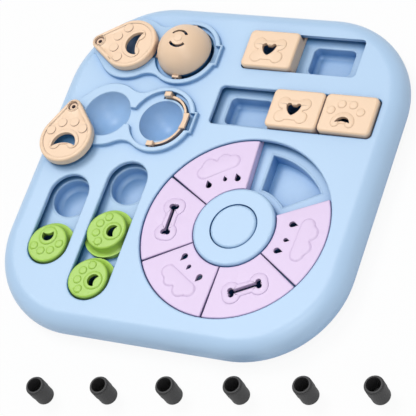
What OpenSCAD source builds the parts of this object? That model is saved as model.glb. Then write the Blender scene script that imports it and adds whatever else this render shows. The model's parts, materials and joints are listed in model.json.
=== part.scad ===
// Dog puzzle feeder: a square two-shell board with sliding blocks and discs, a turning ring of
// segments round a squeak button, swivel covers and flip domes over its food bowls.
// Millimetres, +Z up. The origin is on the ring's turning axis, on the floor. The layout values
// below are given from the board's centre, and in_frame() moves them to the origin.

/* [Board] */
// Side of the square board as built: every size below scales with it
board_w = 280; // [252:1:308]
// Side of the board that the sizes below are given for
plan_w = 280; // [274:1:290]
// Plan radius of the board's corners
corner_r = 74; // [70:1:80]
// Radius of the round-over along the board's top edge
top_edge_r = 12.5; // [10:0.5:13]
// Radius of the skirt's lower edge
low_edge_r = 5; // [2:0.5:5.5]
// Height of the cover, from the skirt's lower edge to the deck's top
shell_h = 19.5; // [19:0.5:21]
// How far the board's underside stands off the floor, on its posts
lift = 5; // [4:0.25:6]
// Wall of the skirt
skirt_t = 2.8; // [2.6:0.1:3]
// Thickness of the deck
deck_t = 3.2; // [2.6:0.1:3.4]

/* [Tray] */
// Depth of the sliding floor below the deck's top
track_depth = 8; // [7.6:0.2:9]
// Thickness of the tray's floor
tray_t = 1.8; // [1.4:0.2:2.2]
// Gap between the tray's edge and the skirt
tray_gap = 2; // [1.4:0.2:3]
// Depth of a food well below the sliding floor
well_depth = 11; // [9:0.5:12]
// Wall of a food well
well_wall = 1.6; // [1.2:0.1:2]
// Round at the bottom of each well
well_round = 3; // [2:0.25:4]

/* [Clearances] */
// Clearance between a slider's foot and the sliding floor
run_gap = 0.2; // [0.1:0.05:0.3]
// Clearance between a slider's foot and the deck above it
play = 1; // [0.5:0.1:1.2]
// Clearance between a slider and the edges of its slot
slot_gap = 0.5; // [0.3:0.1:0.7]
// Clearance between a disc and the sides of its slot
disc_gap = 0.9; // [0.6:0.1:1]
// Clearance round each turning pin
pin_gap = 0.06; // [0.03:0.01:0.1]
// Clearance round the domes' moving shells
shell_gap = 0.7; // [0.5:0.1:0.9]

/* [Blocks] */
// Length of a sliding block, along its slot
block_l = 41.2; // [40:0.2:42]
// Width of a block's knob, across its slot
block_w = 32; // [30:0.5:33]
// Height of a block above the deck
block_rise = 4; // [3:0.25:6]
// How far a block's foot reaches under the deck on each side
block_foot = 2.8; // [2:0.2:3]
// Plan radius of a block's corners
block_r = 4; // [3:0.5:5]
// Round-over of a block's top edges
block_edge_r = 1.8; // [1:0.2:2.4]
// Left end of the back slot, from the board's centre
slot_a_x = 4; // [3:0.5:6]
// Distance between the centre lines of the front and the back slot
slot_a_gap = 49.1; // [47:0.1:49.6]
// Free travel of the block in the back slot
travel_a = 51; // [46:1:51]
// Left end of the front slot
slot_b_x = -5.7; // [-6.2:0.1:-5]
// Distance from the ring's segments to the front slot's centre line
slot_b_gap = 26.6; // [26.2:0.1:28]
// Free travel of the two blocks in the front slot
travel_b = 46; // [42:1:46]
// Length of a well under the blocks
well_l = 33.5; // [28:0.5:34]
// Width of a well under the blocks
well_w = 22.5; // [18:0.5:24]
// Centres of the wells in the back slot
wells_a_x = [25.4, 71.5];
// Centres of the wells in the front slot
wells_b_x = [19, 60.9, 102.8];

/* [Discs] */
// Radius of a disc's knob
disc_r = 15.6; // [14.5:0.1:16]
// Radius of a disc's foot
disc_foot_r = 19.6; // [18.5:0.1:19.8]
// Height of a disc above the deck
disc_rise = 2; // [1:0.25:3]
// Round-over of a disc's top edge
disc_edge_r = 1.4; // [0.8:0.2:2]
// Gap between the feet of the two discs that share a slot
disc_space = 0.8; // [0.6:0.1:1]
// Distance between the centre lines of the left and the right slot
slot_c_gap = 44.1; // [43.6:0.1:45]
// Front end position of the disc in the left slot
slot_c_y = -77.9; // [-80:0.5:-76]
// Travel of the left disc
travel_c = 43.5; // [40:0.5:46]
// Distance from the ring's segments to the right slot's centre line
slot_d_gap = 26.3; // [26:0.1:26.8]
// Front end position of the discs in the right slot
slot_d_y = -101.2; // [-102:0.2:-99]
// Travel of the pair in the right slot
travel_d = 43; // [40:0.5:45]
// Radius of a round well
disc_well_r = 15.5; // [14:0.5:16]

/* [Ring] */
// Ring's axis from the board's centre, to the right
ring_x = 44.4; // [43.8:0.1:44.6]
// Ring's axis from the board's centre, towards the back
ring_y = -44.4; // [-45:0.1:-43.8]
// Outer radius of the ring's segments
ring_r = 72.1; // [70:0.1:72.4]
// Radial clearance between the segments and the deck's round opening
ring_gap = 0.5; // [0.3:0.1:0.8]
// How far the segments' feet reach under the deck and under the hub
ring_foot = 2.4; // [1.8:0.1:2.5]
// Angle of one segment
seg_angle = 57.8; // [56:0.1:58.6]
// Angle from one segment to the next
seg_pitch = 58.8; // [58.7:0.05:59]
// Where the first segment starts, counted from the right
seg_start = 92.8; // [92:0.1:94]
// Height of the segments above the deck (below it where negative)
ring_rise = -1; // [-1.5:0.25:2]
// Distance from a ring well to the edge of its sixth of the ring
ring_well_inset = 7.2; // [6:0.2:8]
// Inner radius of the ring's wells
ring_well_r0 = 37; // [36:0.5:40]
// Outer radius of the ring's wells
ring_well_r1 = 65.5; // [62:0.5:67]

/* [Hub] */
// Radius of the hub ring
hub_r = 31.2; // [30:0.1:32]
// Height of the hub above the deck
hub_rise = 0.6; // [0.2:0.2:3]
// Radius of the squeak button
button_r = 17.5; // [16:0.1:18]
// Gap round the squeak button
button_gap = 0.6; // [0.4:0.1:0.8]
// How far the button's foot reaches under the hub ring
button_foot = 1.8; // [1.4:0.2:2]
// Travel of the button
button_travel = 2.5; // [1.5:0.25:3]
// Height of the button's top face above the hub
button_rise = 0.6; // [0.2:0.1:1]
// Round-over of the button's top edge
button_edge_r = 2; // [1:0.25:2.5]
// Radius of the squeaker's bellows
bellows_r = 15; // [12:0.5:16]

/* [Bowls] */
// Centre line of the swivel pins
pivot_x = -117.4; // [-118:0.1:-117]
// Distance from a swivel pin to the centre of its cover's wide end
cover_l = 27.2; // [26.8:0.1:27.4]
// Centre of the domes
dome_x = -44.4; // [-44.6:0.1:-44]
// Centre lines of the two rows of bowls, back and front
rows_y = [94.8, 34.8];
// Height of the raised plateaus above the deck
plateau_h = 3.5; // [3:0.1:4]
// Plan radius of a plateau's left lobe
left_lobe_r = 27.5; // [26.5:0.25:28]
// Plan radius of a plateau's right lobe
right_lobe_r = 28.3; // [28:0.1:28.8]
// Plan radius of the concave blends at a plateau's waist
waist_r = 15.5; // [12:0.5:18]
// Wall of the plateaus and their bowls
plateau_t = 2.8; // [2.4:0.1:2.9]
// Radius of the left bowls' mouths
left_bowl_r = 19.5; // [18:0.25:20]
// Depth of the left bowls
left_bowl_d = 16; // [13:0.5:17]
// Wall of the bowls
bowl_t = 1.6; // [1.2:0.1:1.7]

/* [Swivel covers] */
// Radius of a swivel cover's wide end
cover_r = 21.6; // [20.5:0.1:21.8]
// Radius of a swivel cover's narrow end
cover_tip_r = 6.2; // [5.8:0.1:6.6]
// Thickness of a swivel cover
cover_t = 6; // [5:0.25:7]
// Gap between a swivel cover and the plateau below it
cover_gap = 0.4; // [0.3:0.1:0.6]
// Round-over of a swivel cover's top edge
cover_edge_r = 1.6; // [1:0.2:2]
// Wall of a swivel cover
cover_wall = 2; // [1.6:0.1:2.4]
// Angle at which the front cover stands open
cover_open = 81.7; // [75:0.1:84]
// Radius of a swivel pin
peg_r = 2.6; // [2.4:0.05:2.7]
// Radius of a swivel pin's head
peg_head_r = 3.5; // [3.4:0.1:3.7]

/* [Domes] */
// Outer radius of a dome
dome_r = 21.8; // [21.4:0.1:21.9]
// Wall of a dome
dome_t = 1.8; // [1.5:0.1:1.9]
// Height of the domes' hinge axis above the deck
hinge_h = 1.6; // [1.5:0.05:1.7]
// Radius of a dome's hinge pins
hinge_r = 1.15; // [1:0.05:1.2]
// Radius of the round recess that a dome stands in
recess_r = 24.6; // [24.4:0.1:24.8]
// Height of the recess floor above the deck
recess_h = 0.3; // [0.2:0.05:0.35]
// Thickness of the recess floor
recess_t = 1.2; // [1:0.1:1.2]
// Inner radius of the bowl that a dome turns under
dome_bowl_r = 17.6; // [16.5:0.1:17.8]
// Angle to which a dome opens
dome_open = 175; // [174:0.5:176]
// How much shorter the dome's right half is than its left half
dome_trim = 2.4; // [2.4:0.1:2.7]
// Width of a dome's finger tab
tab_w = 13; // [8:0.5:13.5]
// Reach of the tab, from the dome's centre
tab_reach = 23.8; // [23:0.1:23.8]
// Reach of the finger notch, from the dome's centre
notch_reach = 27.6; // [27:0.1:28.4]

/* [Feet and screws] */
// Radius of a foot post
post_r = 5.1; // [4.8:0.1:5.2]
// Radius of the bore inside a foot post
post_bore_r = 3.4; // [3.3:0.1:3.5]
// Outer radius of a rubber foot cap
cap_r = 7.2; // [7:0.1:7.8]
// Height of a rubber foot cap
cap_h = 19.5; // [18:0.5:22]
// Radius of the socket in a rubber foot cap
cap_bore_r = 5.25; // [5.2:0.05:5.4]
// Depth of the socket in a rubber foot cap
cap_bore_d = 16; // [14:0.5:16.5]
// Radius of a screw's shank
screw_r = 1.3; // [1.1:0.05:1.5]
// Radius of a screw's head
screw_head_r = 3; // [2.6:0.1:3.2]
// Height of a screw's head
screw_head_h = 2; // [1.6:0.1:2.4]
// First cap of the loose row in front of the board, from the board's centre and front edge
cap_row_start = [-67.3, -46.1 - plan_w / 2];
// Step from one loose cap to the next
cap_row_step = [49.6, 8.6];

/* [Hidden] */
$fn = 72;
eps = 0.01;
far = 1;
// Wall of the hollow sliders, segments and button.
skin_t = 2.2;
// Height of the motifs that stand in relief.
relief_h = 0.7;
// Depth of the field inside a swivel cover's rim, and the rim's width.
field_depth = 0.6;
rim_w = 3.2;
sky = "#BFDFF8";
peach = "#FDDDBE";
lilac = "#EAD8F3";
lime = "#BEE578";
black = "#222222";
steel = "#B8BCC2";
// Heights
deck_z = lift + shell_h;
under_z = deck_z - deck_t;
track_z = deck_z - track_depth;
tray_z = track_z - tray_t;
foot_z = track_z + run_gap;
foot_top_z = under_z - play;
plateau_z = deck_z + plateau_h;
hinge_z = deck_z + hinge_h;
recess_z = deck_z + recess_h;
// Slots
slot_b_y = ring_y + ring_r + slot_b_gap;
slot_a_y = slot_b_y + slot_a_gap;
slot_d_x = ring_x - ring_r - slot_d_gap;
slot_c_x = slot_d_x - slot_c_gap;
slot_w = block_w + 2 * slot_gap;
slot_a_l = block_l + travel_a + 2 * slot_gap;
slot_b_l = 2 * block_l + travel_b + 3 * slot_gap;
block_a_x = slot_a_x + slot_gap + block_l / 2;
block_c_x = slot_b_x + slot_b_l - slot_gap - block_l / 2;
block_b_x = block_c_x - slot_gap - block_l;
disc_slot_r = disc_r + disc_gap;
disc_pitch = 2 * disc_foot_r + disc_space;
slot_d_l = travel_d + disc_pitch;
// Ring
opening_r = ring_r + ring_gap;
ring_r0 = hub_r + ring_gap;
ring_mid = (ring_r + ring_r0) / 2;
hub_stem_r = ring_r0 - ring_foot - 0.4;
hub_floor_t = 1.8;
end_wall_angle = 3;
hub_cup_r = button_r + button_foot + 2.6;
hub_screw_r = hub_cup_r + well_wall + screw_head_r + 0.2;
// Bowls
left_x = pivot_x + cover_l;
lobe_gap = dome_x - left_x;
cover_z = plateau_z + cover_gap;
dome_cup_r = dome_r + shell_gap;
notch_half = tab_w / 2 + 0.9;
// Wall beyond the end of a finger notch.
bump_t = 1.8;
// Lean of the slots and the dot off the dome's top, away from its tab.
smile_lean = 5.5;
// Half the side of the square ears that carry a dome's hinge pins.
ear_half = 2.7;
// Places of the foot posts and of the plain screws
POSTS = [[-67, 124.5], [112, 95], [-126, 64.8], [117, 17], [-95, -110], [107, -107]];
SCREWS = [[-67, 64.8], [-9.5, 94.8], [-14, -112], [-127, -45], [-13, 26]];

// ---- Frame and general shapes ----

// Moves a shape drawn from the board's centre into the part's frame.
module in_frame() translate([-ring_x, -ring_y, 0]) children();

// Square corner left over outside a round of radius r, for cutting a round-over.
module outside_round(r) difference() {
    square(r + far);
    circle(r);
}

// Half profile of a slab, w wide and h high, with its outer edges rounded.
module edge_profile(w, h, top_r, low_r) difference() {
    square([w, h]);
    if (top_r > 0) translate([w - top_r, h - top_r]) outside_round(top_r);
    if (low_r > 0) translate([w - low_r, low_r]) mirror([0, 1]) outside_round(low_r);
}

// Slab standing on z = 0 with plan corners of radius r and rounded edges, in true surfaces.
module slab(w, d, h, r, top_r = 0, low_r = 0) {
    translate([r - w / 2, r - d / 2, 0]) cube([w - 2 * r, d - 2 * r, h]);
    for (k = [0:3]) {
        across = k % 2 == 0 ? w : d;
        along = k % 2 == 0 ? d : w;
        rotate(90 * k) translate([across / 2 - r, along / 2 - r, 0]) {
            rotate_extrude(angle = 90) edge_profile(r, h, top_r, low_r);
            rotate([90, 0, 0]) linear_extrude(along - 2 * r) edge_profile(r, h, top_r, low_r);
        }
    }
}

// Rectangle with round corners, in plan.
module round_rect(w, d, r) {
    square([w - 2 * r, d], center = true);
    square([w, d - 2 * r], center = true);
    for (x = [-1, 1], y = [-1, 1]) translate([x * (w / 2 - r), y * (d / 2 - r)]) circle(r);
}

// Stadium in plan: its lower round end is at the origin and it runs l towards +Y.
module stadium(l, r) {
    translate([-r, 0]) square([2 * r, l]);
    circle(r);
    translate([0, l]) circle(r);
}

// Wedge of the plan between two directions half_angle either side of +X.
module wedge(half_angle, reach) polygon([
    [0, 0],
    reach / cos(half_angle) * [cos(half_angle), -sin(half_angle)],
    reach / cos(half_angle) * [cos(half_angle), sin(half_angle)]
]);

// Piece of a flat ring between two radii and half_angle either side of +X.
module ring_sector(r0, r1, half_angle) intersection() {
    difference() {
        circle(r1, $fn = 144);
        circle(r0, $fn = 96);
    }
    wedge(half_angle, r1 + far);
}

// ---- Motifs ----

// Broad heart, w wide, with a round-sided tip towards -Y and a shallow notch between its lobes.
module heart(w) {
    intersection() {
        translate([-0.39 * w, 0.26 * w]) circle(0.89 * w);
        translate([0.39 * w, 0.26 * w]) circle(0.89 * w);
        translate([-w / 2, -0.6 * w]) square([w, 0.8 * w]);
    }
    for (x = [-1, 1]) translate([x * 0.32 * w, 0.165 * w]) circle(0.18 * w);
}

// Bone along X, l between its knuckles' centres, which lie spread off its centre line.
module bone(l, bar_w, knob_r, spread) {
    square([l, bar_w], center = true);
    for (x = [-1, 1], y = [-1, 1]) translate([x * l / 2, y * spread]) circle(knob_r);
}

// Drop with its tip towards +X.
module drop(r) polygon([
    [2 * r, 0],
    for (a = [60:15:300]) r * [cos(a), sin(a)]
]);

// Cloud with its flat base on Y = 0 and its puffs towards +Y.
module cloud() {
    translate([0, 5.5]) stadium_x(23.5, 5.5);
    translate([-6.2, 9.5]) circle(6);
    translate([5.6, 8.8]) circle(5.6);
}

// Stadium along X, centred, l between the centres of its round ends.
module stadium_x(l, r) {
    square([l, 2 * r], center = true);
    for (x = [-1, 1]) translate([x * l / 2, 0]) circle(r);
}

// Four toes on an arc of radius reach about the pad, towards +Y.
module toes(reach, toe_r, spread) {
    for (a = [-1.5:1:1.5]) rotate(a * spread) translate([0, reach]) circle(toe_r, $fn = 32);
}

// Paw pad with its round side towards +Y and two lobes below.
module pad(r) {
    intersection() {
        circle(r);
        translate([-r, -r * 0.05]) square([2 * r, 2 * r]);
    }
    for (x = [-1, 1]) translate([x * r * 0.62, 0]) circle(r * 0.36);
}

// Half-moon opening, thick in its middle: a round of radius r towards +Y, cut by one of cut_r.
module half_moon(r, cut_r, thick) difference() {
    circle(r);
    translate([0, r - thick - cut_r]) circle(cut_r, $fn = 96);
}

// ---- Plateau outlines ----

// Teardrop outline: a round of radius r at [l, 0] run out to a round of radius tip_r at 0.
module teardrop(l, r, tip_r) {
    lean = asin((r - tip_r) / l);
    side = [-sin(lean), cos(lean)];
    translate([l, 0]) circle(r, $fn = 96);
    circle(tip_r);
    for (m = [0, 1]) mirror([0, m]) polygon([[0, 0], tip_r * side, [l, 0] + r * side, [l, 0]]);
}

// Outline of a plateau about its row's centre line, drawn in by inset all round.
module plateau_outline(inset = 0) {
    left_r = left_lobe_r - inset;
    right_r = right_lobe_r - inset;
    blend_r = waist_r + inset;
    reach_l = left_r + blend_r;
    reach_r = right_r + blend_r;
    // The blend's centre is at these distances from both lobes' centres.
    blend_x = (lobe_gap * lobe_gap + reach_l * reach_l - reach_r * reach_r) / (2 * lobe_gap);
    blend_y = sqrt(reach_l * reach_l - blend_x * blend_x);
    translate([pivot_x, 0]) teardrop(cover_l, left_r, 8 - inset * 0.6);
    translate([dome_x, 0]) {
        circle(right_r, $fn = 96);
        translate([0, 1 - notch_half - plateau_t + inset])
            square([notch_reach + bump_t - inset, 2 * (notch_half + plateau_t - inset - 1)]);
    }
    difference() {
        polygon([
            [left_x, -blend_y], [left_x + blend_x, -blend_y], [dome_x, -blend_y],
            [dome_x, blend_y], [left_x + blend_x, blend_y], [left_x, blend_y]
        ]);
        waist_cut(left_r, right_r, blend_r, blend_x, blend_y);
    }
}

// What the waist leaves out of the block between the lobes: beyond the blends' tangent points.
module waist_cut(left_r, right_r, blend_r, blend_x, blend_y) {
    from_left = [blend_x, blend_y] * left_r / (left_r + blend_r);
    from_right = [blend_x - lobe_gap, blend_y] * right_r / (right_r + blend_r);
    for (m = [0, 1]) mirror([0, m]) {
        translate([left_x + blend_x, blend_y]) circle(blend_r, $fn = 96);
        polygon([
            [left_x - far, from_left.y], [left_x, 0] + from_left,
            [left_x + blend_x, blend_y], [dome_x, 0] + from_right,
            [dome_x + far, from_right.y], [dome_x + far, blend_y + far], [left_x - far, blend_y + far]
        ]);
    }
}

// ---- Cover ----

// Cut-outs of the deck for the tracks and the ring, in plan.
module deck_openings() {
    translate([slot_a_x + slot_a_l / 2, slot_a_y]) round_rect(slot_a_l, slot_w, block_r - 0.5);
    translate([slot_b_x + slot_b_l / 2, slot_b_y]) round_rect(slot_b_l, slot_w, block_r - 0.5);
    translate([slot_c_x, slot_c_y]) stadium(travel_c, disc_slot_r);
    translate([slot_d_x, slot_d_y]) stadium(slot_d_l, disc_slot_r);
    translate([ring_x, ring_y]) circle(opening_r, $fn = 144);
}

// Sphere cap that hangs below z, part of a sphere of radius r about centre_z.
module cap_below(r, centre_z, z) intersection() {
    translate([0, 0, centre_z]) sphere(r, $fn = 96);
    translate([-2 * r, -2 * r, z - 4 * r]) cube(4 * r);
}

// Sphere radius and height of centre of the left bowls, from their mouth and depth.
left_sphere_r = (left_bowl_r * left_bowl_r + left_bowl_d * left_bowl_d) / (2 * left_bowl_d);
left_sphere_z = plateau_z - left_bowl_d + left_sphere_r;

// What one row of bowls adds to the hollow plateau.
module bowl_row_solid() {
    translate([left_x, 0, 0]) cap_below(left_sphere_r + bowl_t, left_sphere_z, plateau_z - plateau_t / 2);
    translate([dome_x, 0, 0]) {
        cap_below(dome_bowl_r + bowl_t, hinge_z, recess_z - recess_t / 2);
        // Recess floor with its wall, and the floor and walls of the channel and the notch.
        translate([0, 0, recess_z - recess_t]) {
            cylinder(r = recess_r + bowl_t, h = plateau_h);
            translate([left_bowl_r - 3 - lobe_gap, -notch_half - bowl_t, 0])
                cube([lobe_gap - left_bowl_r + 3.6 + notch_reach, 2 * (notch_half + bowl_t), plateau_h]);
        }
    }
    translate([pivot_x, 0, track_z]) cylinder(r = 5.2, h = plateau_z - track_z);
    // Bearings of the hinge pins, thickened below the deck.
    for (m = [0, 1]) mirror([0, m, 0]) translate([dome_x - 4, recess_r, under_z])
        cube([8, plateau_t + 0.6, plateau_z - under_z]);
}

// What one row of bowls cuts out of the deck.
module bowl_row_cut() {
    translate([left_x, 0, 0]) cap_below(left_sphere_r, left_sphere_z, plateau_z + far);
    translate([dome_x, 0, 0]) {
        cap_below(dome_bowl_r, hinge_z, plateau_z);
        translate([0, 0, recess_z]) cylinder(r = recess_r, h = plateau_z, $fn = 96);
        translate([0, -notch_half, recess_z]) cube([notch_reach, 2 * notch_half, plateau_z]);
        translate([-lobe_gap, -notch_half, recess_z]) cube([lobe_gap, 2 * notch_half, plateau_z]);
        // Room under the recess floor for the dome's wall on its way.
        translate([0, 0, under_z - far]) linear_extrude(recess_z - recess_t - under_z + far) difference() {
            circle(dome_cup_r, $fn = 96);
            circle(dome_bowl_r + bowl_t, $fn = 96);
        }
        // Half-round slot that the open dome hangs in.
        translate([0, 0, under_z - far]) linear_extrude(recess_z - under_z + 2 * far) difference() {
            circle(dome_cup_r, $fn = 96);
            circle(dome_bowl_r + bowl_t, $fn = 96);
            translate([-2 * dome_cup_r, -2 * dome_cup_r]) square([2 * dome_cup_r, 4 * dome_cup_r]);
        }
        // Openings beside the hinge that the dome's ears turn in.
        for (m = [0, 1]) mirror([0, m, 0])
            translate([-2 * ear_half + 0.8, dome_bowl_r + bowl_t, under_z - far])
                cube([4 * ear_half - 1.6, recess_r - dome_bowl_r - bowl_t - 0.2, recess_z - under_z + 2 * far]);
        rotate([90, 0, 0]) translate([0, hinge_z, 0])
            cylinder(r = hinge_r + pin_gap, h = 2 * (recess_r + 3), center = true);
    }
    translate([pivot_x, 0, track_z - far]) cylinder(r = peg_r, h = plateau_z);
}

// Skirt and deck with the two hollow plateaus.
module cover_shell() difference() {
    union() {
        translate([0, 0, lift]) slab(plan_w, plan_w, shell_h, corner_r, top_edge_r, low_edge_r, $fn = 120);
        for (y = rows_y) translate([0, y, under_z]) linear_extrude(plateau_z - under_z) plateau_outline();
    }
    translate([0, 0, lift - far]) slab(
        plan_w - 2 * skirt_t, plan_w - 2 * skirt_t, shell_h - deck_t + far,
        corner_r - skirt_t, top_edge_r - skirt_t, $fn = 120
    );
    for (y = rows_y) translate([0, y, under_z - far])
        linear_extrude(plateau_z - plateau_t - under_z + far) plateau_outline(plateau_t);
}

module top_cover() color(sky) in_frame() difference() {
    union() {
        cover_shell();
        for (p = concat(POSTS, SCREWS)) translate([p.x, p.y, track_z])
            cylinder(r = screw_r + 2.9, h = track_depth - deck_t / 2);
        for (y = rows_y) translate([0, y, 0]) bowl_row_solid();
    }
    translate([0, 0, under_z - far]) linear_extrude(deck_t + 2 * far) deck_openings();
    for (p = concat(POSTS, SCREWS)) translate([p.x, p.y, track_z - far])
        cylinder(r = screw_r, h = track_depth - deck_t / 2 + far);
    for (y = rows_y) translate([0, y, 0]) bowl_row_cut();
}

// ---- Tray ----

// Plan of a rectangular well, grown by its wall.
module block_well_plan(grow) round_rect(well_l + 2 * grow, well_w + 2 * grow, well_round + 1 + grow, $fn = 32);

// Pocket of a rectangular well, or its outer form where grow is the wall.
module block_well(grow = 0) translate([0, 0, track_z - well_depth - grow])
    slab(well_l + 2 * grow, well_w + 2 * grow, well_depth + grow + (grow > 0 ? 0 : far),
        well_round + 1 + grow, 0, well_round + grow, $fn = 32);

module disc_well(grow = 0) translate([0, 0, track_z - well_depth - grow]) rotate_extrude()
    edge_profile(disc_well_r + grow, well_depth + grow + (grow > 0 ? 0 : far), 0, well_round + 1 + grow);

module ring_well_plan(grow) intersection() {
    difference() {
        circle(ring_well_r1 + grow, $fn = 144);
        circle(ring_well_r0 - grow, $fn = 96);
    }
    translate([(ring_well_inset - grow) / sin(30), 0]) wedge(30, ring_well_r1);
}

module ring_well(grow = 0) translate([0, 0, track_z - well_depth - grow])
    linear_extrude(well_depth + grow + (grow > 0 ? 0 : far)) ring_well_plan(grow);

// Repeats a well at every place where food can lie under a slider.
module at_wells(kind) {
    if (kind == "block") {
        for (x = wells_a_x) translate([x, slot_a_y, 0]) children();
        for (x = wells_b_x) translate([x, slot_b_y, 0]) children();
    }
    if (kind == "disc") {
        for (k = [0, 1]) translate([slot_c_x, slot_c_y + k * travel_c, 0]) children();
        for (k = [0:2]) translate([slot_d_x, slot_d_y + k * slot_d_l / 2, 0]) children();
    }
    if (kind == "ring") for (k = [0:5]) translate([ring_x, ring_y, 0]) rotate(60 * k) children();
}

module bottom_tray() color(sky) in_frame() difference() {
    union() {
        translate([0, 0, tray_z]) linear_extrude(tray_t)
            round_rect(plan_w - 2 * (skirt_t + tray_gap), plan_w - 2 * (skirt_t + tray_gap),
                corner_r - skirt_t - tray_gap, $fn = 120);
        for (p = POSTS) translate([p.x, p.y, 0]) cylinder(r = post_r, h = tray_z + eps);
        for (y = rows_y) translate([dome_x, y, 0]) cap_below(dome_cup_r + bowl_t, hinge_z, tray_z + eps);
        translate([ring_x, ring_y, 0]) cylinder(r = hub_cup_r + well_wall, h = track_z);
    }
    at_wells("block") linear_extrude(2 * track_z) block_well_plan(well_wall);
    at_wells("disc") linear_extrude(2 * track_z) circle(disc_well_r + well_wall);
    at_wells("ring") linear_extrude(2 * track_z) ring_well_plan(well_wall);
    for (y = rows_y) {
        translate([dome_x, y, 0]) cap_below(dome_cup_r, hinge_z, track_z + far);
        translate([left_x, y, tray_z - far]) cylinder(r = left_bowl_r - 1, h = tray_t + 2 * far);
    }
    translate([ring_x, ring_y, hub_floor_t]) cylinder(r = hub_cup_r, h = deck_z);
    for (p = POSTS) translate([p.x, p.y, -far]) cylinder(r = post_bore_r, h = tray_z + far);
    for (p = concat(POSTS, SCREWS)) translate([p.x, p.y, tray_z - far])
        cylinder(r = screw_r + 0.3, h = tray_t + 2 * far);
    for (a = [90:120:330]) translate([ring_x, ring_y, 0]) rotate(a)
        translate([hub_screw_r, 0, tray_z - far]) cylinder(r = screw_r + 0.3, h = tray_t + 2 * far);
}

// Food wells, each a cup whose rim lies flush in the sliding floor.
module block_wells() color(sky) in_frame() at_wells("block") difference() {
    block_well(well_wall);
    block_well();
}

module disc_wells() color(sky) in_frame() at_wells("disc") difference() {
    disc_well(well_wall);
    disc_well();
}

module ring_wells() color(sky) in_frame() at_wells("ring") difference() {
    ring_well(well_wall);
    ring_well();
}

// ---- Hub, button and squeaker ----

module hub_ring() color(sky) difference() {
    union() {
        translate([0, 0, track_z]) cylinder(r = hub_stem_r, h = deck_z - track_z);
        translate([0, 0, under_z - play / 2]) rotate_extrude($fn = 120)
            edge_profile(hub_r, deck_z + hub_rise - under_z + play / 2, 2, 0);
    }
    translate([0, 0, track_z - far]) cylinder(r = button_r + button_gap, h = shell_h);
    translate([0, 0, track_z - far])
        cylinder(r = button_r + button_foot + button_gap, h = under_z - track_z + far);
    for (a = [90:120:330]) rotate(a) translate([hub_screw_r, 0, track_z - far])
        cylinder(r = screw_r, h = track_depth - 2 + far);
}

// Press button: a round-edged cap with a foot ring below it and a plunger on its axis.
module squeak_button() color(sky) {
    top = deck_z + hub_rise + button_rise;
    skin_z = top - button_rise - skin_t;
    difference() {
        union() {
            translate([0, 0, foot_z]) rotate_extrude($fn = 96)
                edge_profile(button_r, top - foot_z, button_edge_r, 0);
            translate([0, 0, foot_z]) cylinder(r = button_r + button_foot, h = under_z - foot_z - 0.1);
        }
        translate([0, 0, foot_z - far]) cylinder(r = button_r - skin_t, h = skin_z - foot_z + far);
    }
    translate([0, 0, foot_z - button_travel]) cylinder(r = 6, h = skin_z - foot_z + button_travel + eps);
}

// Bellows of the squeaker, with a reed plug on its floor end.
module squeaker_bellows() color(peach) {
    folds = 3;
    step = (foot_z - button_travel - hub_floor_t) / folds;
    for (k = [0:folds - 1]) translate([0, 0, hub_floor_t + k * step]) rotate_extrude()
        edge_profile(bellows_r, step, step / 2 - 0.2, step / 2 - 0.2);
    translate([0, 0, hub_floor_t]) cylinder(r = bellows_r - step / 2, h = folds * step);
}

// ---- Ring segments ----

// Half profile of a segment: its wall to wall body on a foot that reaches past it on both sides.
module segment_profile() {
    translate([ring_r0 - ring_foot, 0]) square([ring_r - ring_r0 + 2 * ring_foot, foot_top_z - foot_z]);
    difference() {
        edge_profile(ring_r, deck_z + ring_rise - foot_z, 1.2, 0);
        translate([-far, -far]) square([ring_r0 + far, shell_h]);
    }
}

// Segment body about +X: a hollow shell, open below, turned through the segment's angle.
module segment_shell() translate([0, 0, foot_z]) difference() {
    rotate(-seg_angle / 2) rotate_extrude(angle = seg_angle, $fn = 144) segment_profile();
    rotate(end_wall_angle - seg_angle / 2)
        rotate_extrude(angle = seg_angle - 2 * end_wall_angle, $fn = 144)
            translate([ring_r0 + skin_t, -far])
                square([ring_r - ring_r0 - 2 * skin_t, deck_z + ring_rise - foot_z - skin_t + far]);
}

// Holes of the cloud-and-rain segments, about +X.
module rain_holes() {
    translate([ring_mid - 9.2, 10.5]) drop(2.35);
    translate([ring_mid - 9.6, -2.3]) drop(1.6);
    translate([ring_mid - 13, -11.5]) drop(2.35);
}

module bone_hole() translate([ring_mid, 0]) rotate(90) bone(21, 3, 2.1, 1.8);

module bone_relief() translate([ring_mid, 0]) rotate(90) bone(21, 10, 6.9, 1.8);

module cloud_relief() translate([ring_mid - 2.6, 0]) rotate(-90) cloud();

// One segment of the ring: place counts from the gap, and rain chooses its motif.
module ring_segment(place, rain) color(lilac)
    rotate(seg_start + place * seg_pitch + seg_angle / 2) difference() {
        union() {
            segment_shell();
            translate([0, 0, deck_z + ring_rise - eps]) linear_extrude(relief_h) {
                if (rain) cloud_relief();
                else bone_relief();
            }
        }
        translate([0, 0, track_z]) linear_extrude(shell_h) {
            if (rain) rain_holes();
            else bone_hole();
        }
    }

// ---- Blocks and discs ----

// Hollow block on its foot, about its own centre.
module block_shell() difference() {
    union() {
        translate([0, 0, foot_z]) slab(block_l, block_w, deck_z + block_rise - foot_z,
            block_r, block_edge_r, $fn = 48);
        translate([-block_l / 2, -block_w / 2 - block_foot, foot_z])
            cube([block_l, block_w + 2 * block_foot, foot_top_z - foot_z]);
    }
    translate([0, 0, foot_z - far]) linear_extrude(deck_z + block_rise - foot_z - skin_t + far)
        round_rect(block_l - 2 * skin_t, block_w - 2 * skin_t, block_r - skin_t);
}

module heart_block(x, y) color(peach) in_frame() translate([x, y, 0]) difference() {
    union() {
        block_shell();
        translate([-1.2, -1.7, deck_z + block_rise - eps]) linear_extrude(relief_h)
            bone(16.5, 16.6, 5, 5.6);
    }
    translate([-1, 0, track_z]) linear_extrude(shell_h) heart(11.6);
}

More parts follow.
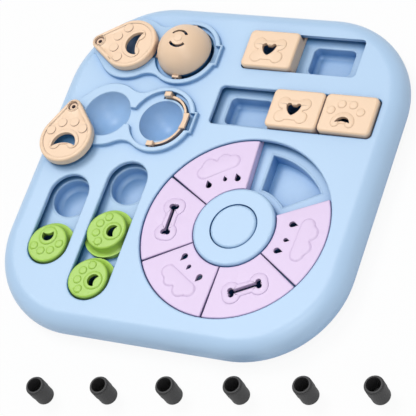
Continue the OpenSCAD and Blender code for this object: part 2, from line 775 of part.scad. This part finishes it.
module paw_block(x, y) color(peach) in_frame() translate([x, y, 0]) difference() {
    union() {
        block_shell();
        translate([-1.8, -6, deck_z + block_rise - eps]) linear_extrude(relief_h) {
            toes(14, 3.3, 37.5);
            translate([0, -2.5]) pad(9.3);
        }
    }
    translate([-1.8, -9.1, track_z]) linear_extrude(shell_h) half_moon(5.8, 16, 3.9);
}

// Hollow disc with a paw whose pad points along turn.
module paw_disc(x, y, turn) color(lime) in_frame() translate([x, y, 0]) rotate(turn) difference() {
    union() {
        translate([0, 0, foot_z]) {
            rotate_extrude($fn = 96) edge_profile(disc_r, deck_z + disc_rise - foot_z, disc_edge_r, 0);
            cylinder(r = disc_foot_r, h = foot_top_z - foot_z, $fn = 96);
        }
        translate([5, 0, deck_z + disc_rise - eps]) linear_extrude(relief_h) {
            rotate(90) toes(12.3, 3.2, 37.5);
            translate([0.6, 0]) circle(7.4);
        }
    }
    translate([0, 0, foot_z - far])
        cylinder(r = disc_r - skin_t, h = deck_z + disc_rise - foot_z - skin_t + far, $fn = 96);
    translate([6, 0, track_z]) linear_extrude(shell_h) rotate(90) half_moon(4.8, 6, 5.8);
}

// ---- Swivel covers ----

// Teardrop solid on z = 0 with its top edge rounded, in true surfaces.
module teardrop_slab(l, r, tip_r, h, top_r) {
    lean = asin((r - tip_r) / l);
    run = l * cos(lean);
    translate([l, 0, 0]) rotate_extrude($fn = 96) edge_profile(r, h, top_r, 0);
    rotate_extrude() edge_profile(tip_r, h, top_r, 0);
    linear_extrude(h) polygon([[0, 0], run * [cos(lean), sin(lean)], [l, 0], run * [cos(lean), -sin(lean)]]);
    for (m = [0, 1]) mirror([0, m, 0]) rotate(lean) rotate([90, 0, 90]) linear_extrude(run)
        edge_profile(tip_r, h, top_r, 0);
}

// Swivel cover about its pin: a teardrop shell whose rim stands round a field with a paw in
// relief, with the pad cut through.
module swivel_cover(y, turn) color(peach) in_frame() translate([pivot_x, y, cover_z]) rotate(turn)
    difference() {
        union() {
            difference() {
                teardrop_slab(cover_l, cover_r, cover_tip_r, cover_t, cover_edge_r);
                translate([0, 0, -far]) linear_extrude(cover_t - skin_t - field_depth + far) difference() {
                    translate([cover_l, 0]) circle(cover_r - cover_wall, $fn = 96);
                    circle(cover_tip_r + cover_wall);
                }
                translate([0, 0, cover_t - field_depth]) linear_extrude(far + field_depth)
                    teardrop(cover_l, cover_r - rim_w, cover_tip_r - rim_w);
            }
            translate([cover_l + 2.8, 0, cover_t - field_depth - eps]) linear_extrude(relief_h) {
                rotate(90) toes(16, 3.6, 37.5);
                translate([3.4, 0]) rotate(90) pad(12.4);
            }
            translate([0, 0, cover_t - skin_t]) cylinder(r = peg_head_r + 1.5, h = skin_t);
        }
        translate([cover_l + 6.8, 0, -far]) linear_extrude(2 * cover_t) rotate(90) half_moon(10, 18.8, 9);
        translate([0, 0, -far]) cylinder(r = peg_r + pin_gap, h = 2 * cover_t);
        translate([0, 0, cover_t - 3.4]) cylinder(r = peg_head_r + 0.3, h = cover_t);
    }

// Pin that holds a swivel cover down on its boss.
module swivel_pin(y) color(peach) in_frame() translate([pivot_x, y, 0]) difference() {
    union() {
        translate([0, 0, track_z + 1]) cylinder(r = peg_r, h = cover_z + cover_t - 3.3 - track_z);
        translate([0, 0, cover_z + cover_t - 3.3]) rotate_extrude() edge_profile(peg_head_r, 1.6, 0.5, 0);
    }
    translate([0, 0, cover_z]) cylinder(r = peg_r - 1, h = cover_t);
}

// ---- Domes ----

// Dome about its hinge axis (Y through the origin), closed, with its tab towards -X.
module dome_shell() difference() {
    union() {
        intersection() {
            sphere(dome_r, $fn = 120);
            union() {
                translate([-2 * dome_r, -2 * dome_r, 0]) cube([2 * dome_r, 4 * dome_r, 2 * dome_r]);
                translate([0, -2 * dome_r, dome_trim]) cube([2 * dome_r, 4 * dome_r, 2 * dome_r]);
            }
        }
        translate([-tab_reach, -tab_w / 2, -1]) cube([tab_reach - dome_r + 3, tab_w, 2]);
        for (m = [0, 1]) mirror([0, m, 0]) {
            rotate([-90, 0, 0]) cylinder(r = hinge_r, h = recess_r + 2.4);
            translate([-ear_half, dome_r - 2.6, -ear_half]) cube([2 * ear_half, 4.4, 2 * ear_half]);
        }
    }
    sphere(dome_r - dome_t, $fn = 120);
}

// Two arched slots round the dot of a dome, in plan.
module smile_slots() for (a = [90, 270]) rotate(a) intersection() {
    difference() {
        circle(7.8);
        circle(5.8);
    }
    wedge(57, 9);
}

module dome_lid(y, turn) color(peach) in_frame() translate([dome_x, y, hinge_z]) rotate([0, turn, 0])
    difference() {
        union() {
            dome_shell();
            rotate([0, smile_lean, 0]) translate([0, 0, dome_r - 0.8]) rotate_extrude()
                edge_profile(3.4, 1, 0.6, 0);
        }
        rotate([0, smile_lean, 0]) translate([0, 0, dome_r / 2]) linear_extrude(dome_r) smile_slots();
    }

// ---- Feet and screws ----

// Loose rubber cap, standing with its socket upwards.
module foot_cap(k) color(black) in_frame()
    translate([cap_row_start.x + k * cap_row_step.x, cap_row_start.y + k * cap_row_step.y, 0])
        difference() {
            rotate_extrude() {
                edge_profile(cap_r - 0.3, cap_h / 2 + 1, 0, 1.6);
                translate([0, cap_h / 2]) edge_profile(cap_r, cap_h / 2 - 1.2, 0.6, 0.4);
                translate([0, cap_h / 2]) edge_profile(cap_r - 0.7, cap_h / 2, 0.4, 0);
            }
            translate([0, 0, cap_h - cap_bore_d]) cylinder(r = cap_bore_r, h = cap_bore_d + far);
        }

// Pan-head screw with its head under z = 0 and its shank up, l long.
module screw(l) {
    cylinder(r = screw_r, h = l);
    translate([0, 0, -screw_head_h]) difference() {
        rotate_extrude() edge_profile(screw_head_r, screw_head_h, 0, 0.8);
        for (a = [0, 90]) rotate(a) translate([-1.6, -0.35, -far]) cube([3.2, 0.7, far + 0.9]);
    }
}

module foot_screws() color(steel) in_frame()
    for (p = POSTS) translate([p.x, p.y, tray_z]) screw(tray_t + track_depth - deck_t);

module case_screws() color(steel) in_frame()
    for (p = SCREWS) translate([p.x, p.y, tray_z]) screw(tray_t + track_depth - deck_t);

module hub_screws() color(steel)
    for (a = [90:120:330]) rotate(a) translate([hub_screw_r, 0, tray_z]) screw(tray_t + track_depth - 3);

// The whole board keeps its proportions when its side changes.
scale(board_w / plan_w) {
    top_cover();
    bottom_tray();
    block_wells();
    disc_wells();
    ring_wells();
    hub_ring();
    squeak_button();
    squeaker_bellows();
    ring_segment(0, true);  // ring_segment_1
    ring_segment(1, false);  // ring_segment_2
    ring_segment(2, true);  // ring_segment_3
    ring_segment(3, false);  // ring_segment_4
    ring_segment(4, true);  // ring_segment_5
    heart_block(block_a_x, slot_a_y);  // slide_block_back
    heart_block(block_b_x, slot_b_y);  // slide_block_heart
    paw_block(block_c_x, slot_b_y);  // slide_block_paw
    paw_disc(slot_c_x, slot_c_y, 101.5);  // slide_disc_left
    paw_disc(slot_d_x, slot_d_y + disc_pitch, -5);  // slide_disc_upper
    paw_disc(slot_d_x, slot_d_y, -13);  // slide_disc_lower
    swivel_cover(rows_y[0], 0);  // swivel_cover_back
    swivel_cover(rows_y[1], -cover_open);  // swivel_cover_front
    swivel_pin(rows_y[0]);  // swivel_pin_back
    swivel_pin(rows_y[1]);  // swivel_pin_front
    dome_lid(rows_y[0], 0);  // dome_lid_back
    dome_lid(rows_y[1], dome_open);  // dome_lid_front
    foot_cap(0);  // foot_cap_1
    foot_cap(1);  // foot_cap_2
    foot_cap(2);  // foot_cap_3
    foot_cap(3);  // foot_cap_4
    foot_cap(4);  // foot_cap_5
    foot_cap(5);  // foot_cap_6
    foot_screws();
    case_screws();
    hub_screws();
}
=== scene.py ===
"""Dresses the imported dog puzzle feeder: moulded plastic board, sliders, ring, lids and rubber caps."""

import json
import math

import bmesh
import bpy
from bpy.props import FloatProperty, FloatVectorProperty, PointerProperty
from mathutils import Matrix, Vector


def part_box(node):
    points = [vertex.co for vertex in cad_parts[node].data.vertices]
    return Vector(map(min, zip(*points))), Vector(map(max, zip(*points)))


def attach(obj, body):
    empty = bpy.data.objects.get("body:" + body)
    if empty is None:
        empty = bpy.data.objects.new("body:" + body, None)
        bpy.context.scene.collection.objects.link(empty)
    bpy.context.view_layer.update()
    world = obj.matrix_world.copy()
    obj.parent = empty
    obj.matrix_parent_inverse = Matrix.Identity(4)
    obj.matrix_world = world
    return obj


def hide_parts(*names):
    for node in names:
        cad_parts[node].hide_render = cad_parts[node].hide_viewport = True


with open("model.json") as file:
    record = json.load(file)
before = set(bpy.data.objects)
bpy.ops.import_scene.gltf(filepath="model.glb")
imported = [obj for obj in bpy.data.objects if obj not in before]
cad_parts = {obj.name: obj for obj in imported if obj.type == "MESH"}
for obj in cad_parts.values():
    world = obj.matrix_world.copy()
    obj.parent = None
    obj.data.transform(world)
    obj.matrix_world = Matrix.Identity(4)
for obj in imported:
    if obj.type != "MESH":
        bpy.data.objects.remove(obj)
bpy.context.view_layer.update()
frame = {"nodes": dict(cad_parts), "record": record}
NODES = frame["nodes"]

bl_info = {
    "name": "Dog Puzzle Feeder",
    "version": (1, 0, 0),
    "blender": (4, 5, 0),
    "location": "View3D > Sidebar > Feeder",
    "description": "Builds the pieces, plastics and studio of a dog puzzle feeder",
    "category": "Object",
}

MM = 0.001
BODY_OF = {node: body for body, nodes in frame["record"]["behaviour"]["bodies"].items() for node in nodes}
# Heights of the board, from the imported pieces.
TRACK_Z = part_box("disc_wells")[1][2]
DECK_Z = TRACK_Z + 8 * MM
PLATEAU_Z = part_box("top_cover")[1][2]
# Height of the low reliefs on the sliders and segments.
RELIEF = 0.7 * MM
# Smallest angle between two faces whose edge is eased.
SHARP = math.radians(38)
# Largest angle across which a surface is shaded as one.
SMOOTH = math.radians(34)
# Largest angle between triangles that count as one flat face.
FLAT = math.radians(0.3)
# How far a point may lie from a level and still count as on it.
ON_LEVEL = 0.03 * MM
# More runs of edges than any piece has at one height.
MOST_RUNS = 60
FRAME_PIXELS = 416
SENSOR_MM = 36
# The board's bowls and wells are wide, so their painted shade reaches further than that of a small hole.
BOARD_SHADE = {"painted_shade_tint": (0.0, 0.24, 0.48), "reach": 25 * MM, "clear": 0.95}


def linear(hex_colour):
    """Linear RGBA of an sRGB hex colour."""
    parts = [int(hex_colour[i : i + 2], 16) / 255 for i in (0, 2, 4)]
    return [p / 12.92 if p <= 0.04045 else ((p + 0.055) / 1.055) ** 2.4 for p in parts] + [1.0]


def swatch(name, about, hex_colour):
    """Colour setting shown in the sidebar."""
    return FloatVectorProperty(
        name=name, description=about, subtype="COLOR", size=4, min=0, max=1, default=linear(hex_colour)
    )


class FeederColours(bpy.types.PropertyGroup):
    """Colours of the mouldings."""

    board: swatch("Board", "Cover, tray, hub and button", "BBDAF9")
    lids: swatch("Lids and blocks", "Sliding blocks, swivel covers and domes", "FCDBBA")
    ring: swatch("Ring", "Segments of the turning ring", "E6D0F2")
    discs: swatch("Discs", "Round sliders", "AAD655")
    caps: swatch("Foot caps", "Rubber caps for the foot posts", "252526")
    screws: swatch("Screws", "Zinc plated screws", "B8BCC2")
    bellows: swatch("Bellows", "Squeaker under the button", "EFE4D2")


class FeederSizes(bpy.types.PropertyGroup):
    """Sizes of the finish."""

    edge: FloatProperty(
        name="Edge softness", description="Radius that the moulded edges are eased to",
        subtype="DISTANCE", unit="LENGTH", default=0.55 * MM, min=0.05 * MM, max=2 * MM,
    )
    rim: FloatProperty(
        name="Rim radius", description="Radius of the rims round the board's openings",
        subtype="DISTANCE", unit="LENGTH", default=1.2 * MM, min=0.2 * MM, max=1.8 * MM,
    )
    grain: FloatProperty(
        name="Mould grain", description="Width of one grain of the mould's fine matte texture",
        subtype="DISTANCE", unit="LENGTH", default=0.9 * MM, min=0.2 * MM, max=3 * MM,
    )


# ---- Materials ----


def add_node(material, kind, settings=None, **links):
    """Adds a node, sets its properties and socket values, and links what is passed as (node, output)."""
    tree = material.node_tree
    node = tree.nodes.new(kind)
    for key, value in (settings or {}).items():
        if hasattr(node, key):
            setattr(node, key, value)
        else:
            node.inputs[key].default_value = value
    for socket, (source, output) in links.items():
        tree.links.new(source.outputs[output], node.inputs[socket.replace("_", " ")])
    return node


def new_material(name):
    """Empty node material with its output, returned with the output node."""
    material = bpy.data.materials.new(name)
    material.use_nodes = True
    material.node_tree.nodes.clear()
    return material, add_node(material, "ShaderNodeOutputMaterial")


# The tint argument scales the colour where painted shade deepens it; reach and clear set how far that
# painted shade looks and where it fades out.
def moulded_plastic(name, colour, painted_shade_tint=(0.08, 0.1, 0.28), reach=5 * MM, clear=0.82,
                    roughness=0.36, tint=0.05):
    """ABS moulded in a finely textured tool: an even colour, deepened by painted shade in gaps, holes and
    bowls, a low satin sheen and eased edges.
    """
    sizes = bpy.context.scene.feeder_sizes
    material, out = new_material(name)
    where = add_node(material, "ShaderNodeTexCoord")
    # Slow flow shading of the melt, about 60 mm across.
    flow = add_node(
        material, "ShaderNodeTexNoise", {"Scale": 1 / (60 * MM), "Detail": 2.0}, Vector=(where, "Object")
    )
    deep = [c * (1 - tint) for c in colour[:3]] + [1.0]
    shade = add_node(material, "ShaderNodeMix", {"data_type": "RGBA"}, Factor=(flow, 0))
    shade.inputs["A"].default_value = deep
    shade.inputs["B"].default_value = colour
    # Painted shade: where ambient occlusion finds a gap, a hole or a bowl, the colour is deepened, in place
    # of light that has bounced off the same plastic.
    open_sky = add_node(material, "ShaderNodeAmbientOcclusion", {"samples": 6, "Distance": reach})
    open_part = add_node(
        material, "ShaderNodeMapRange", {"From Min": 0.1, "From Max": clear}, Value=(open_sky, "AO")
    )
    painted_shade_mix = add_node(material, "ShaderNodeMix", {"data_type": "RGBA"}, Factor=(open_part, 0))
    painted_shade_mix.inputs["A"].default_value = [c * k for c, k in zip(colour[:3], painted_shade_tint)] + [1.0]
    material.node_tree.links.new(shade.outputs["Result"], painted_shade_mix.inputs["B"])
    # The tool's grain is about 0.3 mm in the real moulding, drawn coarser so that it shows.
    grain = add_node(
        material, "ShaderNodeTexNoise", {"Scale": 1 / sizes.grain, "Detail": 1.0}, Vector=(where, "Object")
    )
    eased = add_node(material, "ShaderNodeBevel", {"samples": 6, "Radius": sizes.edge})
    bump = add_node(
        material, "ShaderNodeBump", {"Strength": 0.10, "Distance": 0.06 * MM},
        Height=(grain, 0), Normal=(eased, 0),
    )
    sheen = add_node(
        material, "ShaderNodeMapRange", {"To Min": roughness - 0.04, "To Max": roughness + 0.05},
        Value=(grain, 0),
    )
    shader = add_node(
        material, "ShaderNodeBsdfPrincipled", {"IOR": 1.5},
        Base_Color=(painted_shade_mix, "Result"), Roughness=(sheen, 0), Normal=(bump, 0),
    )
    material.node_tree.links.new(shader.outputs[0], out.inputs[0])
    return material


def moulded_rubber(name, colour):
    """Black synthetic rubber from a spark-eroded mould: dull, with a faint bloom on its edges."""
    material, out = new_material(name)
    where = add_node(material, "ShaderNodeTexCoord")
    bloom = add_node(
        material, "ShaderNodeTexNoise", {"Scale": 1 / (7 * MM), "Detail": 4.0}, Vector=(where, "Object")
    )
    shade = add_node(material, "ShaderNodeMix", {"data_type": "RGBA"}, Factor=(bloom, 0))
    shade.inputs["A"].default_value = colour
    shade.inputs["B"].default_value = [c * 1.9 for c in colour[:3]] + [1.0]
    grain = add_node(
        material, "ShaderNodeTexNoise", {"Scale": 1 / (0.5 * MM), "Detail": 2.0}, Vector=(where, "Object")
    )
    eased = add_node(material, "ShaderNodeBevel", {"samples": 6, "Radius": 0.4 * MM})
    bump = add_node(
        material, "ShaderNodeBump", {"Strength": 0.3, "Distance": 0.05 * MM},
        Height=(grain, 0), Normal=(eased, 0),
    )
    shader = add_node(
        material, "ShaderNodeBsdfPrincipled", {"IOR": 1.52, "Roughness": 0.62},
        Base_Color=(shade, "Result"), Normal=(bump, 0),
    )
    material.node_tree.links.new(shader.outputs[0], out.inputs[0])
    return material


def plated_steel(name, colour):
    """Zinc plated screw steel: bright metal with faint turning marks round each head."""
    material, out = new_material(name)
    where = add_node(material, "ShaderNodeTexCoord")
    marks = add_node(
        material, "ShaderNodeTexNoise", {"Scale": 1 / (0.8 * MM), "Detail": 3.0}, Vector=(where, "Object")
    )
    rough = add_node(material, "ShaderNodeMapRange", {"To Min": 0.25, "To Max": 0.45}, Value=(marks, 0))
    shader = add_node(
        material, "ShaderNodeBsdfPrincipled", {"Metallic": 1.0, "Base Color": colour}, Roughness=(rough, 0)
    )
    material.node_tree.links.new(shader.outputs[0], out.inputs[0])
    return material


def finish_for(slot):
    """Material of a record slot, made on first use."""
    colours = bpy.context.scene.feeder_colours
    made = {
        "sky_blue_plastic": ("ABS, sky blue, moulded satin", moulded_plastic, colours.board),
        "peach_plastic": ("ABS, peach, moulded satin", moulded_plastic, colours.lids),
        "lilac_plastic": ("ABS, lilac, moulded satin", moulded_plastic, colours.ring),
        "lime_plastic": ("ABS, lime, moulded satin", moulded_plastic, colours.discs),
        "bellows_plastic": ("Soft PVC, blown bellows", moulded_plastic, colours.bellows),
        "black_rubber": ("EPDM rubber, black, moulded", moulded_rubber, colours.caps),
        "screw_steel": ("Steel, zinc plated", plated_steel, colours.screws),
    }
    name, make, colour = made[slot]
    # The board's plastic gets the wider, bluer painted shade; the other plastics keep the default painted
    # shade.
    settings = BOARD_SHADE if slot == "sky_blue_plastic" else {}
    return bpy.data.materials.get(name) or make(name, list(colour), **settings)


def dress(piece, slot):
    """Gives a piece or node the material of a record slot."""
    piece.data.materials.clear()
    piece.data.materials.append(finish_for(slot))
    for face in piece.data.polygons:
        face.material_index = 0


SLOT_OF = {p["node"]: p["material_slot"] for p in frame["record"]["subparts"]}


# ---- Stage ----


def show_white(owner, plain, white, out, share):
    """Shows the white shader to the camera and in mirrored or clear pieces, the plain one to other rays."""
    path = add_node(owner, "ShaderNodeLightPath")
    seen = path, "Is Camera Ray"
    for ray in ("Is Glossy Ray", "Is Transmission Ray"):
        either = add_node(owner, "ShaderNodeMath", {"operation": "MAXIMUM"})
        owner.node_tree.links.new(seen[0].outputs[seen[1]], either.inputs[0])
        owner.node_tree.links.new(path.outputs[ray], either.inputs[1])
        seen = either, "Value"
    part = add_node(owner, "ShaderNodeMath", {"operation": "MULTIPLY"})
    part.inputs[1].default_value = share
    mix = add_node(owner, "ShaderNodeMixShader")
    for source, socket in ((seen[0].outputs[seen[1]], part.inputs[0]), (part.outputs[0], mix.inputs[0]),
                           (plain.outputs[0], mix.inputs[1]), (white.outputs[0], mix.inputs[2]),
                           (mix.outputs[0], out.inputs[0])):
        owner.node_tree.links.new(source, socket)


class FEEDER_OT_stage(bpy.types.Operator):
    """Floor, lamps, pale world and the camera"""

    bl_idname = "feeder.stage"
    bl_label = "Stage"

    def execute(self, context):
        scene = context.scene
        scene.view_settings.view_transform = "Standard"
        bpy.ops.mesh.primitive_plane_add(size=6, location=(0, 0, -0.05 * MM))
        floor = context.object
        floor.name = "floor"
        # Matte white card, rolled smooth: an even pale ground that takes a soft shadow.
        material, out = new_material("Card, white, matte")
        paper = add_node(material, "ShaderNodeBsdfDiffuse", {"Color": linear("F7F8F9")})
        shine = add_node(material, "ShaderNodeEmission", {"Color": linear("FFFFFF"), "Strength": 1.0})
        # The paper lets some shade through to the camera, so that the board keeps its shadow.
        show_white(material, paper, shine, out, 0.92)
        floor.data.materials.append(material)

        world = bpy.data.worlds.new("Studio")
        scene.world = world
        world.use_nodes = True
        world.node_tree.nodes.clear()
        end = add_node(world, "ShaderNodeOutputWorld")
        sky = add_node(world, "ShaderNodeBackground", {"Color": linear("FFFFFF"), "Strength": 0.25})
        white = add_node(world, "ShaderNodeBackground", {"Color": linear("FFFFFF"), "Strength": 1.0})
        show_white(world, sky, white, end, 1.0)

        # Large key lamp over the back left, a weak one from the front right and one overhead.
        for name, place, power, size in (
            ("key_lamp", (-1.38, 0.88, 2.85), 43, 1.4),
            ("fill_lamp", (1.75, -1.75, 2.1), 15, 1.4),
            ("top_lamp", (0.45, -0.35, 3.0), 24, 1.1),
        ):
            lamp = bpy.data.lights.new(name, "AREA")
            lamp.energy = power
            lamp.size = size
            holder = bpy.data.objects.new(name, lamp)
            scene.collection.objects.link(holder)
            holder.location = place
            holder.rotation_euler = (-Vector(place)).to_track_quat("-Z", "Y").to_euler()
        make_camera(scene)
        return {"FINISHED"}


def make_camera(scene):
    """Camera set by its place, its right and forward directions and its focal length in pixels."""
    focal_pixels = 1897.5
    centre_across, centre_down = 208.1, 207.1
    place = Vector((602.4, -525.7, 1107.7)) * MM
    right = Vector((0.88073, 0.3153, -0.35343)).normalized()
    forward = Vector((-0.46045, 0.39517, -0.79488)).normalized()
    up = right.cross(forward)
    lens = bpy.data.cameras.new("studio_camera")
    lens.sensor_width = SENSOR_MM
    lens.lens = focal_pixels / FRAME_PIXELS * SENSOR_MM
    lens.shift_x = (FRAME_PIXELS / 2 - centre_across) / FRAME_PIXELS
    lens.shift_y = (centre_down - FRAME_PIXELS / 2) / FRAME_PIXELS
    lens.clip_start, lens.clip_end = 0.05, 20
    camera = bpy.data.objects.new("studio_camera", lens)
    scene.collection.objects.link(camera)
    turn = Matrix((right, up, -forward)).transposed().to_4x4()
    camera.matrix_world = Matrix.Translation(place) @ turn
    scene.camera = camera


# ---- Pieces ----


def activate(piece):
    """Makes one object the only selected and the active one."""
    bpy.ops.object.select_all(action="DESELECT")
    piece.select_set(True)
    bpy.context.view_layer.objects.active = piece


def select_flats(piece):
    """Selects the level faces that look up."""
    bpy.ops.mesh.select_all(action="DESELECT")
    bpy.context.tool_settings.mesh_select_mode = (False, False, True)
    shape = bmesh.from_edit_mesh(piece.data)
    for face in shape.faces:
        if face.normal.z > 0.9999:
            face.select_set(True)
    bmesh.update_edit_mesh(piece.data)


def merged_copy(node_name):
    """Copy of a CAD node as clean faces, left in edit mode: doubles merged, flat triangles joined and then
    split again into short ones, so that no sliver lies along a rim."""
    mesh = NODES[node_name].data.copy()
    piece = bpy.data.objects.new(node_name + "_moulding", mesh)
    bpy.context.scene.collection.objects.link(piece)
    activate(piece)
    bpy.ops.object.mode_set(mode="EDIT")
    bpy.ops.mesh.select_all(action="SELECT")
    bpy.ops.mesh.remove_doubles(threshold=0.002 * MM)
    bpy.ops.mesh.dissolve_limited(angle_limit=FLAT)
    select_flats(piece)
    bpy.ops.mesh.quads_convert_to_tris(quad_method="BEAUTY", ngon_method="BEAUTY")
    bpy.ops.mesh.beautify_fill(angle_limit=FLAT)
    return piece


def step_below(edge):
    """Largest drop along the edges that leave either end of an edge."""
    return max(vert.co.z - beside.other_vert(vert).co.z for vert in edge.verts for beside in vert.link_edges)


def pick_rim(mesh, low, high, wanted, least, most):
    """Selects one run of ridge edges between two heights and two lengths, and says if there was one."""
    shape = bmesh.from_edit_mesh(mesh)
    bpy.ops.mesh.select_all(action="DESELECT")
    # A dict keeps the mesh's own order, so the runs are taken in the same order each time.
    sharp = {}
    for edge in shape.edges:
        if all(low <= vert.co.z <= high for vert in edge.verts) and edge.is_manifold:
            if edge.calc_face_angle_signed() > SHARP and wanted(edge):
                sharp[edge] = True
    while sharp:
        run = [next(iter(sharp))]
        del sharp[run[0]]
        for edge in run:
            for vert in edge.verts:
                for beside in vert.link_edges:
                    if beside in sharp:
                        del sharp[beside]
                        run.append(beside)
        if least <= sum(edge.calc_length() for edge in run) <= most:
            for edge in run:
                edge.select_set(True)
            bmesh.update_edit_mesh(mesh)
            return True
    return False


def ease_rims(piece, level, width, segments=3, below=ON_LEVEL, least=0, most=1, clamp=True,
              wanted=lambda edge: True):
    """Rounds every run of ridge edges at one height, each run by itself so that none limits another."""
    bpy.context.tool_settings.mesh_select_mode = (False, True, False)
    runs = 0
    while runs < MOST_RUNS and pick_rim(piece.data, level - below, level + ON_LEVEL, wanted, least, most):
        bpy.ops.mesh.bevel(offset=width, offset_type="OFFSET", segments=segments, profile=0.5,
                           clamp_overlap=clamp, loop_slide=False)
        runs += 1


def puff_relief(piece, level, inset, drop):
    """Slopes the border of a low relief: an inset loop stays up and the outline is let down."""
    shape = bmesh.from_edit_mesh(piece.data)
    bpy.ops.mesh.select_all(action="DESELECT")
    bpy.context.tool_settings.mesh_select_mode = (False, False, True)
    for face in shape.faces:
        if face.normal.z > 0.99 and abs(face.calc_center_median().z - level) < 0.02 * MM:
            face.select_set(True)
    bmesh.update_edit_mesh(piece.data)
    bpy.ops.mesh.inset(thickness=inset, depth=0, use_even_offset=True)
    shape = bmesh.from_edit_mesh(piece.data)
    bpy.ops.mesh.select_all(action="DESELECT")
    bpy.context.tool_settings.mesh_select_mode = (True, False, False)
    foot = level - RELIEF
    for vert in shape.verts:
        if abs(vert.co.z - level) < 0.02 * MM:
            ends = [edge.other_vert(vert).co.z for edge in vert.link_edges]
            if any(abs(end - foot) < 0.05 * MM for end in ends):
                vert.select_set(True)
    bmesh.update_edit_mesh(piece.data)
    bpy.ops.transform.translate(value=(0, 0, -drop))
    ease_rims(piece, level - drop, drop * 0.6, segments=2)


def finish_piece(piece, node_name, flats=False):
    """Joins the flat faces if asked, smooths across shallow angles and hands the piece to its body."""
    if flats:
        select_flats(piece)
        bpy.ops.mesh.dissolve_limited(angle_limit=math.radians(0.1))
    bpy.ops.mesh.select_all(action="SELECT")
    bpy.ops.mesh.remove_doubles(threshold=0.004 * MM)
    bpy.ops.mesh.dissolve_degenerate(threshold=0.002 * MM)
    bpy.ops.object.mode_set(mode="OBJECT")
    bpy.ops.object.shade_smooth_by_angle(angle=SMOOTH)
    weigh = piece.modifiers.new("Even shading", "WEIGHTED_NORMAL")
    weigh.keep_sharp = True
    weigh.weight = 100
    bpy.ops.object.modifier_apply(modifier=weigh.name)
    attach(piece, BODY_OF[node_name])
    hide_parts(node_name)
    dress(piece, SLOT_OF[node_name])


def top_of(node_name):
    """Height of a node's top."""
    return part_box(node_name)[1][2]


class FEEDER_OT_board(bpy.types.Operator):
    """Cover with a rounded rim at every opening"""

    bl_idname = "feeder.board"
    bl_label = "Board"

    def execute(self, context):
        soft = context.scene.feeder_sizes.rim
        cover = merged_copy("top_cover")
        ease_rims(cover, DECK_Z, soft)
        ease_rims(cover, PLATEAU_Z, soft)
        finish_piece(cover, "top_cover", flats=True)
        # A cup's mouth is the shorter of its two rims, and the longer one is flush with the tray.
        for name, mouth in (("block_wells", 110), ("disc_wells", 102), ("ring_wells", 142)):
            wells = merged_copy(name)
            ease_rims(wells, TRACK_Z, 1.2 * MM, most=mouth * MM)
            finish_piece(wells, name, flats=True)
        return {"FINISHED"}


class FEEDER_OT_ring(bpy.types.Operator):
    """Ring segments, each a shell with a soft relief and its holes"""

    bl_idname = "feeder.ring"
    bl_label = "Ring segments"

    def execute(self, context):
        for number in range(1, 6):
            name = f"ring_segment_{number}"
            piece = merged_copy(name)
            # The clouds, on segments 1, 3 and 5, have room for a wider slope than the bones.
            inset, drop = (1.2 * MM, 0.5 * MM) if number % 2 else (0.8 * MM, 0.4 * MM)
            puff_relief(piece, top_of(name), inset, drop)
            ease_rims(piece, top_of(name) - RELIEF, 1.0 * MM, below=1.25 * MM, least=70 * MM, clamp=False)
            finish_piece(piece, name)
        return {"FINISHED"}


class FEEDER_OT_sliders(bpy.types.Operator):
    """Sliding blocks and discs"""

    bl_idname = "feeder.sliders"
    bl_label = "Sliders"

    def execute(self, context):
        for name in NODES:
            if name.startswith("slide_"):
                piece = merged_copy(name)
                puff_relief(piece, top_of(name), 0.8 * MM, 0.4 * MM)
                finish_piece(piece, name)
        return {"FINISHED"}


class FEEDER_OT_lids(bpy.types.Operator):
    """Swivel covers"""

    bl_idname = "feeder.lids"
    bl_label = "Lids"

    def execute(self, context):
        for name in ("swivel_cover_back", "swivel_cover_front"):
            piece = merged_copy(name)
            ease_rims(piece, top_of(name), 0.6 * MM, wanted=lambda edge: step_below(edge) < 1 * MM)
            finish_piece(piece, name)
        return {"FINISHED"}


class FEEDER_OT_mouldings(bpy.types.Operator):
    """Plastics, rubber and plated steel on the pieces that stay as they come"""

    bl_idname = "feeder.mouldings"
    bl_label = "Mouldings"

    def execute(self, context):
        for name, node in NODES.items():
            dress(node, SLOT_OF[name])
        return {"FINISHED"}


class FEEDER_PT_panel(bpy.types.Panel):
    """Sidebar list of the feeder's colours, sizes and pieces"""

    bl_label = "Dog Puzzle Feeder"
    bl_space_type = "VIEW_3D"
    bl_region_type = "UI"
    bl_category = "Feeder"

    def draw(self, context):
        for settings in (context.scene.feeder_colours, context.scene.feeder_sizes):
            for key in settings.__annotations__:
                self.layout.prop(settings, key)
        for operator in PIECES:
            self.layout.operator(operator.bl_idname)


PIECES = (
    FEEDER_OT_stage, FEEDER_OT_mouldings, FEEDER_OT_board, FEEDER_OT_ring, FEEDER_OT_sliders, FEEDER_OT_lids,
)
CLASSES = (FeederColours, FeederSizes, *PIECES, FEEDER_PT_panel)


def register():
    for item in CLASSES:
        bpy.utils.register_class(item)
    bpy.types.Scene.feeder_colours = PointerProperty(type=FeederColours)
    bpy.types.Scene.feeder_sizes = PointerProperty(type=FeederSizes)


def unregister():
    del bpy.types.Scene.feeder_sizes
    del bpy.types.Scene.feeder_colours
    for item in reversed(CLASSES):
        bpy.utils.unregister_class(item)


def main():
    register()
    for operator in PIECES:
        group, name = operator.bl_idname.split(".")
        getattr(getattr(bpy.ops, group), name)()


if __name__ == "__main__":
    main()
